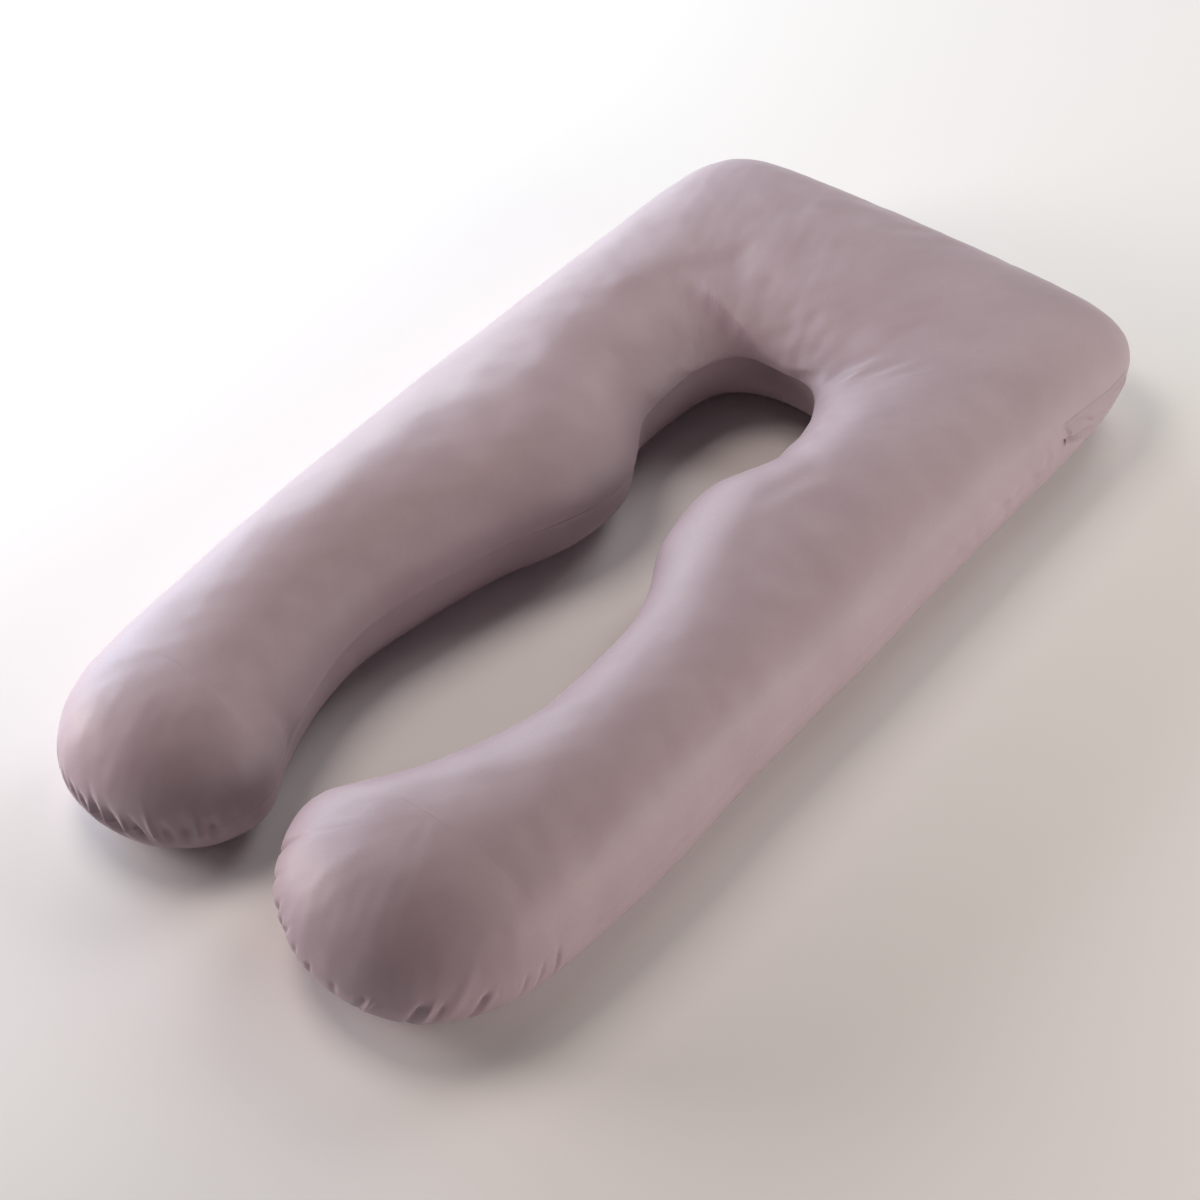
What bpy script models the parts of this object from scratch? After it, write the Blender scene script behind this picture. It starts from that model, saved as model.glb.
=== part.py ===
"""Body pillow: a U-shaped filled cushion lying on its back, with the covered zip in its side seam.

Two limbs run from rounded feet to a squared head end, round a keyhole gap: a neck opening, a narrow throat, a
wide waist and a mouth between the feet. An upper and a lower panel meet in one seam that runs all round.

The surface is worked out on ribs. Each rib crosses from the seam to the spine, the line along the middle of the
limb or head, over the top and again underneath. A rib's place is its turn, counted round one half of the U:
0 is the middle of the head's back, 0 to 1 the head's outer side, 1 to 2 the limb's outer side, 2 to 3 the foot,
3 to 4 the limb's inner side and 4 to 5 the neck opening, back to the middle.
Lengths are in millimetres until the mesh is made. x runs across the limbs and y from the feet to the head end.
"""
import bmesh
import bpy
import numpy as np

MM = 0.001

# The plan, at the seam.
HEAD_END = 1400
NECK_LINE = 900            # the limbs begin here, at the widest part of the neck opening
FOOT_LINE = 170            # the limbs end here, and the feet are rounded about their middles on this line
NECK_DEPTH = 150           # from the neck line to the head's inner wall
HEAD_SQUARENESS = 8.5      # exponent of the head's outer curve: 2 is an ellipse, large is a square
NECK_SQUARENESS = 2.6      # the same for the neck opening
RIGHT, LEFT = 1, -1

# Seam distances from the middle of the U, and the crown's height over the surface that the pillow lies on.
LIMB_ROWS = {
    RIGHT: (
        # y, outer, inner, crown
        (170, 362, 17, 195),
        (280, 369, 93, 191),
        (390, 369, 132, 187),
        (500, 364, 136, 185),
        (610, 362, 121, 186),
        (710, 364, 72, 188),
        (800, 364, 61, 190),
        (900, 360, 101, 190),
    ),
    LEFT: (
        (170, 358, 63, 185),
        (280, 360, 112, 187),
        (390, 362, 132, 189),
        (500, 366, 116, 190),
        (610, 368, 88, 190),
        (710, 371, 47, 190),
        (800, 370, 46, 190),
        (900, 363, 96, 190),
    ),
}
FOOT_ROWS = {
    RIGHT: (
        # degrees round from the outer side, seam distance from the foot's middle
        (30, 169),
        (60, 175),
        (90, 176),
        (120, 182),
        (150, 190),
    ),
    LEFT: (
        (30, 151),
        (60, 159),
        (90, 159),
        (120, 164),
        (150, 166),
    ),
}
HEAD_ROWS = (
    # degrees from the neck line to the middle of the back, crown
    (0, 190),
    (45, 182),
    (90, 187),
)
SEAM_ROWS = (
    # turn, height of the seam as a share of the crown
    (0.0, 0.49),
    (0.8, 0.49),
    (1.2, 0.46),
    (1.7, 0.46),
    (2.2, 0.38),
    (2.8, 0.38),
    (3.3, 0.50),
    (3.8, 0.50),
    (4.2, 0.55),
    (5.0, 0.55),
)
FLAT_SHARE = 0.5           # share of a rib's length that lies flat on the surface underneath
SEAM_TUCK = 3              # the seam is drawn in by this much
TUCK_REACH = 6             # over this distance to each side of it

# Gathers where the panels were eased into the seam: grooves, or ridges where the depth is below 0.
# Each crosses the seam, and leans towards lower turns by so much for each millimetre that it rises.
GATHERS = (
    # side, turn, depth, reach above the seam, reach below, lean, half width
    (LEFT, 2.365, 3.0, 30, 12, 0.3, 5),
    (LEFT, 2.405, 3.5, 26, 12, 0.3, 5),
    (LEFT, 2.445, 4.0, 22, 14, 0.4, 5),
    (LEFT, 2.485, 6.0, 30, 16, 0.5, 6),
    (LEFT, 2.525, -3.5, 30, 14, 0.5, 5),
    (LEFT, 2.560, 6.0, 28, 16, 0.5, 6),
    (LEFT, 2.600, -4.0, 32, 14, 0.5, 5),
    (LEFT, 2.635, 5.0, 26, 16, 0.4, 6),
    (LEFT, 2.675, -4.0, 32, 14, 0.4, 5),
    (LEFT, 2.710, 4.0, 24, 14, 0.2, 6),
    (LEFT, 2.735, 4.5, 30, 14, 0.0, 7),
    (LEFT, 2.790, 3.0, 26, 12, 0.0, 6),
    (LEFT, 2.840, 2.0, 20, 12, 0.0, 6),
    (RIGHT, 2.840, 6.5, 62, 12, -0.5, 7),
    (RIGHT, 2.780, 5.0, 44, 12, -0.4, 6),
    (RIGHT, 2.715, 3.0, 30, 12, -0.3, 5),
    (RIGHT, 2.685, 2.5, 26, 12, -0.3, 5),
    (RIGHT, 2.655, 3.5, 24, 12, -0.3, 5),
    (RIGHT, 2.590, 3.0, 16, 12, 0.0, 6),
    (RIGHT, 2.450, 4.0, 18, 12, 0.3, 6),
    (RIGHT, 2.420, -4.0, 20, 12, 0.3, 6),
    (RIGHT, 2.330, 6.5, 24, 14, 0.6, 7),
    (RIGHT, 2.300, -3.0, 26, 12, 0.6, 6),
    (RIGHT, 2.270, 4.0, 26, 12, 0.6, 6),
    (RIGHT, 2.180, 6.5, 24, 22, 0.3, 7),
    (RIGHT, 2.010, 4.0, 24, 14, 0.2, 6),
    (RIGHT, 0.960, 4.0, 24, 12, 0.0, 7),
    (RIGHT, 0.845, 4.0, 40, 12, 0.2, 8),
    (RIGHT, 0.785, 4.5, 32, 14, 0.1, 8),
    (RIGHT, 0.700, 3.0, 26, 14, 0.0, 7),
    (RIGHT, 0.650, 5.0, 34, 14, 0.1, 8),
    (RIGHT, 0.560, 9.0, 14, 24, -2.0, 7),
)

# Soft troughs (depth below 0) and ridges (above 0) across the top panel, each between two points of the plan.
FOLDS = (
    # name, start x, start y, end x, end y, depth, half width
    ("dart by the neck", -150, 1074, -78, 1060, -9, 13),
    ("lip over the neck", -92, 1076, 40, 1070, 4, 22),
    ("neck fold 1", -48, 1075, -64, 1128, -2.5, 11),
    ("neck fold 2", -2, 1078, -8, 1140, -2.5, 12),
    ("neck fold 3", 66, 1078, 118, 1118, -3.5, 13),
    ("hollow of the left shoulder", -182, 1100, -140, 1160, -3, 26),
    ("right limb fold", 176, 780, 200, 872, -3, 14),
    ("left foot crease", -97, 222, -128, 216, -6, 12),
)

# The strip that covers the zip, in the seam by the right head corner.
PLACKET_START = 0.40       # turns
PLACKET_END = 0.575
PLACKET_ABOVE = 22         # from the seam up to the stitched edge
PLACKET_BELOW = 8          # and down to the free edge
PLACKET_GAP = 0.6          # clear of the pillow at the stitched edge
PLACKET_THICKNESS = 2.4    # cloth folded over the zip's tape
PLACKET_LIFT = 3.5         # the free edge stands off by this much more
PLACKET_WAVE = 1.5         # and waves in and out by this much
PLACKET_WAVE_LENGTH = 60

# How finely the ribs are laid along the seam.
HEAD_PITCH = 27
LIMB_PITCH = 34
FOOT_PITCH = 6.5
BEND_WEIGHT = 60           # a radian of the seam's bend counts as this much length
TRIAL_TURNS = 400          # a stretch of seam is measured at this many places first

# Degrees of the section at which each rib has a point, over the seam and under it.
TOP_DEGREES = (90, 64, 43, 28, 19, 12, 5)
WALL_DEGREES = (5.5, 16, 35, 62, 90)

SAME_POINT = 0.001         # points closer than this are one


def slopes_of(rows, values, first=None, last=None):
    """The slope at each row of a table, from its neighbours, with the end slopes given where they are known."""
    slopes = np.gradient(values, rows, edge_order=2)
    if first is not None:
        slopes[0] = first
    if last is not None:
        slopes[-1] = last
    return slopes


def through(at, rows, values, slopes):
    """Reads a smooth curve through a table's rows: between two rows it is the cubic with their slopes."""
    row = np.clip(np.searchsorted(rows, at, side="right") - 1, 0, len(rows) - 2)
    span = rows[row + 1] - rows[row]
    u = (at - rows[row]) / span
    start = (2 * u**3 - 3 * u**2 + 1) * values[row] + (u**3 - 2 * u**2 + u) * span * slopes[row]
    end = (3 * u**2 - 2 * u**3) * values[row + 1] + (u**3 - u**2) * span * slopes[row + 1]
    return start + end


def curve_distance(angle, across, along, squareness):
    """Distance to a superellipse of the given half axes, in the direction of the angle."""
    return ((np.cos(angle) / across) ** squareness + (np.sin(angle) / along) ** squareness) ** (-1 / squareness)


def limb_columns(side):
    """The columns of a limb's table, with the slopes that carry the seam smoothly into the head."""
    y, outer, inner, crown = np.array(LIMB_ROWS[side], float).T
    outer_slopes = slopes_of(y, outer, last=0)
    inner_slopes = slopes_of(y, inner, last=0)
    return y, outer, inner, crown, outer_slopes, inner_slopes


def crossing(side, along):
    """Outer seam point, inner seam point and crown where a rib crosses the limb or the head.

    along is 0 at the middle of the head, 1 at the neck line and 2 at the foot line.
    """
    rows, outer, inner, crown, outer_slopes, inner_slopes = limb_columns(side)
    y = NECK_LINE - np.clip(along - 1, 0, 1) * (NECK_LINE - FOOT_LINE)
    limb_outer = np.stack([through(y, rows, outer, outer_slopes), y], 1)
    limb_inner = np.stack([through(y, rows, inner, inner_slopes), y], 1)
    limb_crown = through(y, rows, crown, slopes_of(rows, crown, first=0, last=0))

    degrees = 90 * (1 - np.minimum(along, 1))
    angle = np.radians(degrees)
    ray = np.stack([np.cos(angle), np.sin(angle)], 1)
    neck = np.array([0, NECK_LINE])
    to_back = curve_distance(angle, outer[-1], HEAD_END - NECK_LINE, HEAD_SQUARENESS)
    to_neck = curve_distance(angle, inner[-1], NECK_DEPTH, NECK_SQUARENESS)
    head_rows, head_crown = np.array(HEAD_ROWS, float).T
    crown_there = through(degrees, head_rows, head_crown, slopes_of(head_rows, head_crown, 0, 0))

    on_limb = along > 1
    outer_point = np.where(on_limb[:, None], limb_outer, neck + ray * to_back[:, None])
    inner_point = np.where(on_limb[:, None], limb_inner, neck + ray * to_neck[:, None])
    return outer_point, inner_point, np.where(on_limb, limb_crown, crown_there)


def foot_seam(side, turn):
    """Seam points round a foot, at turns from 2 to 3, and the foot's middle."""
    _, outer, inner, _, outer_slopes, inner_slopes = limb_columns(side)
    middle = np.array([(outer[0] + inner[0]) / 2, FOOT_LINE])
    half_width = (outer[0] - inner[0]) / 2
    table = ((0, half_width),) + FOOT_ROWS[side] + ((180, half_width),)
    degrees, radius = np.array(table, float).T
    rows = np.radians(degrees)
    slopes = slopes_of(rows, radius, -outer_slopes[0] * half_width, -inner_slopes[0] * half_width)
    angle = np.pi * np.clip(turn - 2, 0, 1)
    reach = through(angle, rows, radius, slopes)
    return middle + np.stack([np.cos(angle), -np.sin(angle)], 1) * reach[:, None], middle


def ribs(side, turn):
    """Seam point, spine point, crown and seam height of the ribs at the given turns of one half of the U."""
    outer, inner, crown = crossing(side, np.where(turn < 2.5, np.minimum(turn, 2), 5 - np.maximum(turn, 3)))
    foot, middle = foot_seam(side, turn)
    in_foot = ((turn > 2) & (turn < 3))[:, None]
    seam = np.where(in_foot, foot, np.where((turn < 2.5)[:, None], outer, inner))
    spine = np.where(in_foot, middle, (outer + inner) / 2)
    rows, share = np.array(SEAM_ROWS, float).T
    height = crown * through(turn, rows, share, slopes_of(rows, share, 0, 0))
    return seam * [side, 1], spine * [side, 1], crown, height


def even_turns(side, start, end, pitch):
    """Turns from start to end, evenly spaced along the seam by about the pitch, closer where the seam bends."""
    turn = np.linspace(start, end, TRIAL_TURNS)
    seam = ribs(side, turn)[0]
    step = np.diff(seam, axis=0)
    heading = np.unwrap(np.arctan2(step[:, 1], step[:, 0]))
    bend = np.abs(np.gradient(heading))
    run = np.concatenate([[0], np.cumsum(np.hypot(*step.T) + BEND_WEIGHT * bend)])
    count = round(run[-1] / pitch)
    return np.interp(np.linspace(0, run[-1], count + 1), run, turn)


def half_turns(side):
    """The turns at which one half has its ribs. Each rib on an outer side has its mate on the inner side."""
    head = even_turns(side, 0, 1, HEAD_PITCH)
    limb = even_turns(side, 1, 2, LIMB_PITCH)
    foot = even_turns(side, 2, 3, FOOT_PITCH)
    outside = np.concatenate([head, limb[1:]])
    return np.concatenate([outside, foot[1:-1], 5 - outside[::-1]])


def section(seam, spine, crown, height):
    """Points of each rib from the spine over the top to the seam, and on underneath to the spine again."""
    top = np.radians(TOP_DEGREES)
    wall = np.radians(WALL_DEGREES)
    across = np.concatenate([np.cos(top), [1], FLAT_SHARE + (1 - FLAT_SHARE) * np.cos(wall), [0]])
    above = np.concatenate([np.sin(top), [0], np.zeros(len(wall) + 1)])
    below = np.concatenate([np.ones(len(top) + 1), 1 - np.sin(wall), [0]])
    plan = spine[:, None, :] + (seam - spine)[:, None, :] * across[None, :, None]
    z = height[:, None] * below + (crown - height)[:, None] * above
    return np.concatenate([plan, z[:, :, None]], 2)


def outward(grid):
    """Unit normals of a grid of ribs that closes on itself, straight up along the top of the spine."""
    around = np.roll(grid, -1, axis=0) - np.roll(grid, 1, axis=0)
    down = np.gradient(grid, axis=1)
    normal = np.cross(around, down)
    normal[:, 0] = (0, 0, 1)
    normal[:, -1] = (0, 0, -1)
    return normal / np.linalg.norm(normal, axis=2, keepdims=True)


def above_seam(grid, seam_column):
    """Distance of every point from the seam, measured along its rib: above 0 on the top panel, below 0 under it."""
    step = np.linalg.norm(np.diff(grid, axis=1), axis=2)
    run = np.concatenate([np.zeros((len(grid), 1)), np.cumsum(step, axis=1)], 1)
    return run[:, seam_column : seam_column + 1] - run


def gather_depth(sides, turns, run, height):
    """How far the gathers draw the cloth in. Each fades smoothly at its reach above and below the seam."""
    depth = np.zeros_like(height)
    for side, turn, deep, above, below, lean, width in GATHERS:
        mine = sides == side
        where = np.interp(turn, *sorted_pair(turns[mine], run[mine]))
        leaning = -side * lean * height
        across = np.exp(-(((run[:, None] - where - leaning) / width) ** 2))
        fade = np.exp(-((height / np.where(height > 0, above, below)) ** 2))
        depth += deep * across * fade
    return depth


def sorted_pair(keys, values):
    """Keys in rising order, and their values in the same order."""
    order = np.argsort(keys)
    return keys[order], values[order]


def fold_rise(points):
    """How far the folds raise each point of the top panel. A fold fades past its two ends."""
    rise = np.zeros(points.shape[:-1])
    for _, x0, y0, x1, y1, deep, width in FOLDS:
        start, run = np.array([x0, y0]), np.array([x1 - x0, y1 - y0])
        share = np.clip(((points[..., :2] - start) @ run) / (run @ run), 0, 1)
        near = start + share[..., None] * run
        away = np.linalg.norm(points[..., :2] - near, axis=-1)
        rise += deep * np.exp(-((away / width) ** 2))
    return rise


def pillow_grid():
    """The pillow's points, one row for each rib right round the seam, with the ribs' sides and turns."""
    right, left = half_turns(RIGHT), half_turns(LEFT)
    halves = [ribs(RIGHT, right), ribs(LEFT, left)]
    joined = [np.concatenate([a, b[::-1][1:-1]]) for a, b in zip(*halves)]
    sides = np.concatenate([np.full(len(right), RIGHT), np.full(len(left) - 2, LEFT)])
    turns = np.concatenate([right, left[::-1][1:-1]])
    grid = section(*joined)
    seam_column = len(TOP_DEGREES)
    height = above_seam(grid, seam_column)
    step = np.linalg.norm(np.diff(grid[:, seam_column], axis=0), axis=1)
    run = np.concatenate([[0], np.cumsum(step)])
    on_top = np.arange(grid.shape[1]) < seam_column
    drawn_in = SEAM_TUCK * np.exp(-np.abs(height) / TUCK_REACH) + gather_depth(sides, turns, run, height)
    moved = np.where(on_top, fold_rise(grid), 0) - drawn_in
    lies_flat = grid[:, :, 2] < SAME_POINT
    grid = grid + outward(grid) * np.where(lies_flat, 0, moved)[:, :, None]
    return grid, sides, turns


def middle_of(grid):
    """The middle of the pillow's box, on the surface that it lies on."""
    low, high = grid.min(axis=(0, 1)), grid.max(axis=(0, 1))
    return np.array([(low[0] + high[0]) / 2, (low[1] + high[1]) / 2, 0])


def pillow_mesh(grid):
    """Closes the grid of ribs into one skin. Mated ribs share their points along the spine."""
    shape = bmesh.new()
    rows = [[shape.verts.new(point * MM) for point in rib] for rib in grid]
    for this, after in zip(rows, rows[1:] + rows[:1]):
        for j in range(len(this) - 1):
            shape.faces.new((this[j], this[j + 1], after[j + 1], after[j]))
    bmesh.ops.remove_doubles(shape, verts=shape.verts, dist=SAME_POINT * MM)
    bmesh.ops.dissolve_degenerate(shape, edges=shape.edges, dist=SAME_POINT * MM)
    bmesh.ops.recalc_face_normals(shape, faces=shape.faces)
    return shape


def placket_mesh(grid, sides, turns):
    """The strip over the zip: a thin flap along the pillow's side, stitched above and free below."""
    covered = np.flatnonzero((sides == RIGHT) & (turns >= PLACKET_START) & (turns <= PLACKET_END))
    height = above_seam(grid, len(TOP_DEGREES))
    columns = np.flatnonzero((height[covered[0]] < PLACKET_ABOVE) & (height[covered[0]] > -PLACKET_BELOW))
    patch = np.ix_(covered, columns)
    normal, skin = outward(grid)[patch], grid[patch]
    wave = PLACKET_WAVE * np.cos(2 * np.pi * skin[:, :1, 1] / PLACKET_WAVE_LENGTH)
    down = (np.arange(len(columns)) / (len(columns) - 1)) ** 2
    stand_off = (PLACKET_GAP + (PLACKET_LIFT + wave) * down)[:, :, None]
    layers = (skin + normal * stand_off, skin + normal * (stand_off + PLACKET_THICKNESS))

    shape = bmesh.new()
    inner, outer = ([[shape.verts.new(point * MM) for point in rib] for rib in layer] for layer in layers)
    last_rib, last_column = len(covered) - 1, len(columns) - 1
    for i in range(last_rib):
        for j in range(last_column):
            for layer in (inner, outer):
                shape.faces.new((layer[i][j], layer[i][j + 1], layer[i + 1][j + 1], layer[i + 1][j]))
        for j in (0, last_column):
            shape.faces.new((inner[i][j], inner[i + 1][j], outer[i + 1][j], outer[i][j]))
    for j in range(last_column):
        for i in (0, last_rib):
            shape.faces.new((inner[i][j], inner[i][j + 1], outer[i][j + 1], outer[i][j]))
    bmesh.ops.recalc_face_normals(shape, faces=shape.faces)
    return shape


def linear(srgb):
    """An sRGB hex colour as linear red, green, blue and alpha."""
    parts = [int(srgb[i : i + 2], 16) / 255 for i in (0, 2, 4)]
    return [p / 12.92 if p <= 0.04045 else ((p + 0.055) / 1.055) ** 2.4 for p in parts] + [1.0]


def cloth(name, srgb, roughness):
    material = bpy.data.materials.new(name)
    material.use_nodes = True
    shader = material.node_tree.nodes["Principled BSDF"]
    shader.inputs["Base Color"].default_value = linear(srgb)
    shader.inputs["Roughness"].default_value = roughness
    shader.inputs["Metallic"].default_value = 0
    return material


def add_object(name, shape, material):
    mesh = bpy.data.meshes.new(name)
    shape.to_mesh(mesh)
    shape.free()
    mesh.materials.append(material)
    mesh.shade_smooth()
    thing = bpy.data.objects.new(name, mesh)
    bpy.context.scene.collection.objects.link(thing)
    return thing


def main():
    for old in list(bpy.data.objects):
        bpy.data.objects.remove(old, do_unlink=True)
    grid, sides, turns = pillow_grid()
    grid = grid - middle_of(grid)
    add_object("pillow", pillow_mesh(grid), cloth("mauve satin", "b09ca3", 0.45))
    add_object("zip_placket", placket_mesh(grid, sides, turns), cloth("mauve satin strip", "a8949a", 0.5))


main()
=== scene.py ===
"""A U-shaped body pillow in plain mauve satin, with the covered zip in its side seam, lying on its back.

The pillow's surface is worked out on ribs. Each rib crosses from the spine, the line along the middle of a
limb or of the head, over the top panel to the seam, and on under it to the spine again. A rib's place is its
turn, counted round one half of the U: 0 is the middle of the head's back, 0 to 1 the head's outer side, 1 to
2 the limb's outer side, 2 to 3 the foot, 3 to 4 the limb's inner side and 4 to 5 the neck opening, back to
the middle. Lengths are in millimetres until a mesh is made. x runs across the limbs and y from the feet to
the head end.
"""

import bmesh
import bpy
import numpy as np
from mathutils import Matrix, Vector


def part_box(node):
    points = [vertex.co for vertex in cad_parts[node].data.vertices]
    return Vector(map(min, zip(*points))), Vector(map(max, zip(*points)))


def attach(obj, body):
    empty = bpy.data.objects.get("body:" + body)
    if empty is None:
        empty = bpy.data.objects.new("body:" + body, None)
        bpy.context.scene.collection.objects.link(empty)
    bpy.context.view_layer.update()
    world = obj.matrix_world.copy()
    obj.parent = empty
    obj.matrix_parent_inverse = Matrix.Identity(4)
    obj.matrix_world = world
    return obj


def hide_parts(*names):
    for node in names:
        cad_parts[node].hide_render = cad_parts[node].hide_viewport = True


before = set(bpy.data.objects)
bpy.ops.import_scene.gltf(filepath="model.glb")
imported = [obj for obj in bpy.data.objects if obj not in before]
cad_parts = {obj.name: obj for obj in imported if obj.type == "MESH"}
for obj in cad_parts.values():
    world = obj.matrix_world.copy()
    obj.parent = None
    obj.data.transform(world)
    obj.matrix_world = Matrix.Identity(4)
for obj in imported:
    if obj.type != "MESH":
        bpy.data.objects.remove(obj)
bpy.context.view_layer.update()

MM = 0.001

# ---------------- plan and crown, as the solid has them

HEAD_END = 1400
NECK_LINE = 900            # the limbs begin here, at the widest part of the neck opening
FOOT_LINE = 170            # the limbs end here, and the feet are rounded about their middles on this line
NECK_DEPTH = 150           # from the neck line to the head's inner wall
HEAD_SQUARENESS = 8.5      # exponent of the head's outer curve: 2 is an ellipse, large is a square
NECK_SQUARENESS = 2.6      # the same for the neck opening
RIGHT, LEFT = 1, -1

LIMB_ROWS = {
    RIGHT: (
        # y, outer, inner, crown
        (170, 362, 17, 195),
        (280, 369, 93, 191),
        (390, 369, 132, 187),
        (500, 364, 136, 185),
        (610, 362, 121, 186),
        (710, 364, 72, 188),
        (800, 364, 61, 190),
        (900, 360, 101, 190),
    ),
    LEFT: (
        (170, 358, 63, 185),
        (280, 360, 112, 187),
        (390, 362, 132, 189),
        (500, 366, 116, 190),
        (610, 368, 88, 190),
        (710, 371, 47, 190),
        (800, 370, 46, 190),
        (900, 363, 96, 190),
    ),
}
FOOT_ROWS = {
    RIGHT: (
        # degrees round from the outer side, seam distance from the foot's middle
        (30, 169),
        (60, 175),
        (90, 176),
        (120, 182),
        (150, 190),
    ),
    LEFT: (
        (30, 151),
        (60, 159),
        (90, 159),
        (120, 164),
        (150, 166),
    ),
}
HEAD_ROWS = (
    # degrees from the neck line to the middle of the back, crown
    (0, 190),
    (45, 182),
    (90, 187),
)
SEAM_ROWS = (
    # turn, height of the seam as a share of the crown
    (0.0, 0.49),
    (0.8, 0.49),
    (1.2, 0.46),
    (1.7, 0.46),
    (2.2, 0.38),
    (2.8, 0.38),
    (3.3, 0.50),
    (3.8, 0.51),
    (4.2, 0.57),
    (4.6, 0.63),
    (5.0, 0.63),
)
SECTION_ROWS = {
    RIGHT: (
        # turn, exponent of a rib's curve by the crown, and by the seam
        # 2 is an ellipse, more is fuller and less is keener
        (0.0, 2.0, 2.0),
        (3.6, 2.0, 1.9),
        (4.6, 2.0, 1.9),
        (4.9, 2.2, 1.6),
    ),
    LEFT: (
        (0.0, 2.0, 2.0),
        (2.9, 2.0, 2.0),
        (3.3, 2.0, 1.7),
        (4.2, 2.0, 1.6),
        (4.7, 2.2, 1.6),
    ),
}
FLAT_SHARE = 0.5           # share of a rib's length that lies flat on the surface underneath

# ---------------- the cover's seam, gathers and folds

TUCK_ROWS = {
    RIGHT: (
        # turn, depth of the stitches' groove, how far the seam is drawn in, how much more the wall under it
        (0.0, 1.0, 0, 0),
        (1.8, 0.9, 0, 0),
        (2.1, 0.2, 0, 0),
        (3.0, 0.2, 0, 0),
        (3.3, 0.9, 0, 2),
        (4.4, 0.9, 0, 4),
        (4.6, 0.1, 1, 6),
        (4.8, 0.1, 4, 8),
        (5.0, 0.1, 6, 10),
    ),
    LEFT: (
        (0.0, 1.0, 0, 0),
        (2.9, 1.0, 0, 0),
        (3.2, 0.9, 2, 8),
        (3.9, 0.9, 2, 9),
        (4.2, 0.9, 2, 9),
        (4.5, 0.1, 6, 10),
    ),
}
TUCK_REACH = 55            # above the seam the draw fades over this distance
WALL_REACH = 14            # under the seam it deepens over this one
WALL_POWER = 1.4           # by 1 less a fading power of the distance, with this exponent
WALL_FADE = 42             # and fades again towards the floor over this one
GROOVE_REACH = 6           # the stitches' groove fades over this distance on either side
SEAM_BEAD = 0.9            # in it the two turned-in edges swell the seam again by this share of the depth
BEAD_REACH = 1.6           # half width of that bead

GATHERS = (
    # side, turn, depth (a ridge below 0), reach above the seam, reach below, lean to lower turns, half width
    (LEFT, 2.205, 2.0, 20, 12, 0.4, 4),
    (LEFT, 2.260, 2.5, 22, 12, 0.4, 4),
    (LEFT, 2.345, 5.0, 22, 14, 0.6, 4),
    (LEFT, 2.390, 4.5, 16, 14, 0.5, 4),
    (LEFT, 2.428, 6.0, 14, 14, 0.4, 5),
    (LEFT, 2.466, 6.0, 13, 16, 0.4, 4.6),
    (LEFT, 2.496, -4.0, 12, 14, 0.4, 3),
    (LEFT, 2.520, 6.5, 20, 16, 0.45, 4.6),
    (LEFT, 2.546, -4.5, 16, 14, 0.5, 3),
    (LEFT, 2.571, 8.0, 16, 16, 0.45, 4.8),
    (LEFT, 2.602, -4.5, 14, 16, 0.5, 3),
    (LEFT, 2.632, 7.5, 14, 16, 0.5, 5),
    (LEFT, 2.672, -5.0, 22, 20, 0.3, 4),
    (LEFT, 2.702, 6.0, 14, 16, 0.2, 5),
    (LEFT, 2.742, 8.0, 24, 18, 0.0, 6.5),
    (LEFT, 2.768, -3.5, 26, 14, 0.0, 4),
    (LEFT, 2.806, 7.0, 18, 18, 0.0, 6),
    (LEFT, 2.860, 3.5, 16, 14, 0.0, 5),
    (RIGHT, 2.852, 5.5, 76, 10, 0.25, 5),
    (RIGHT, 2.805, 5.0, 30, 14, 0.6, 4),
    (RIGHT, 2.735, 6.0, 22, 14, 0.4, 5),
    (RIGHT, 2.702, 4.5, 14, 12, 0.3, 4),
    (RIGHT, 2.680, 4.5, 18, 12, 0.6, 4),
    (RIGHT, 2.630, 3.0, 12, 12, 0.4, 4),
    (RIGHT, 2.578, 3.5, 8, 24, 0.3, 4),
    (RIGHT, 2.505, 2.0, 8, 22, 0.2, 5),
    (RIGHT, 2.436, 4.0, 8, 26, 0.5, 3.5),
    (RIGHT, 2.418, -3.0, 9, 24, 0.5, 3),
    (RIGHT, 2.318, 6.5, 10, 40, 0.5, 4.5),
    (RIGHT, 2.294, -2.5, 12, 30, 0.5, 3),
    (RIGHT, 2.272, 3.0, 8, 34, 0.5, 3.5),
    (RIGHT, 2.244, -1.4, 40, 20, 0.6, 8),
    (RIGHT, 2.184, 4.5, 8, 40, 0.5, 4),
    (RIGHT, 2.164, -1.2, 10, 30, 0.5, 4),
    (RIGHT, 2.088, 2.0, 8, 30, 0.3, 3),
    (RIGHT, 2.048, 2.2, 9, 30, 0.3, 3),
    (RIGHT, 2.003, 4.2, 12, 34, 0.2, 3),
    (RIGHT, 1.925, 0.8, 12, 26, 0.2, 6),
    (RIGHT, 0.946, 2.5, 12, 26, -0.6, 6),
    (RIGHT, 0.880, 2.5, 14, 20, -0.4, 6),
    (RIGHT, 0.792, 3.0, 38, 10, -0.5, 7),
    (RIGHT, 0.776, 3.8, 12, 36, -0.3, 7),
    (RIGHT, 0.730, 2.0, 14, 26, -0.3, 6),
    (RIGHT, 0.684, 3.2, 18, 28, -0.6, 6),
    (RIGHT, 0.662, -1.0, 18, 20, -0.2, 6),
    (RIGHT, 0.639, 4.5, 28, 32, 0.0, 6),
    (RIGHT, 0.532, 3.5, 20, 6, -0.8, 5),
)

POCKETS = (
    # side, turn, height over the seam, depth, half length along the seam, half width, rise along the run
    (RIGHT, 0.558, -8, 18, 30, 4.0, 0.43),
    (RIGHT, 0.480, -10, 12, 26, 3.6, 0.0),
)

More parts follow.
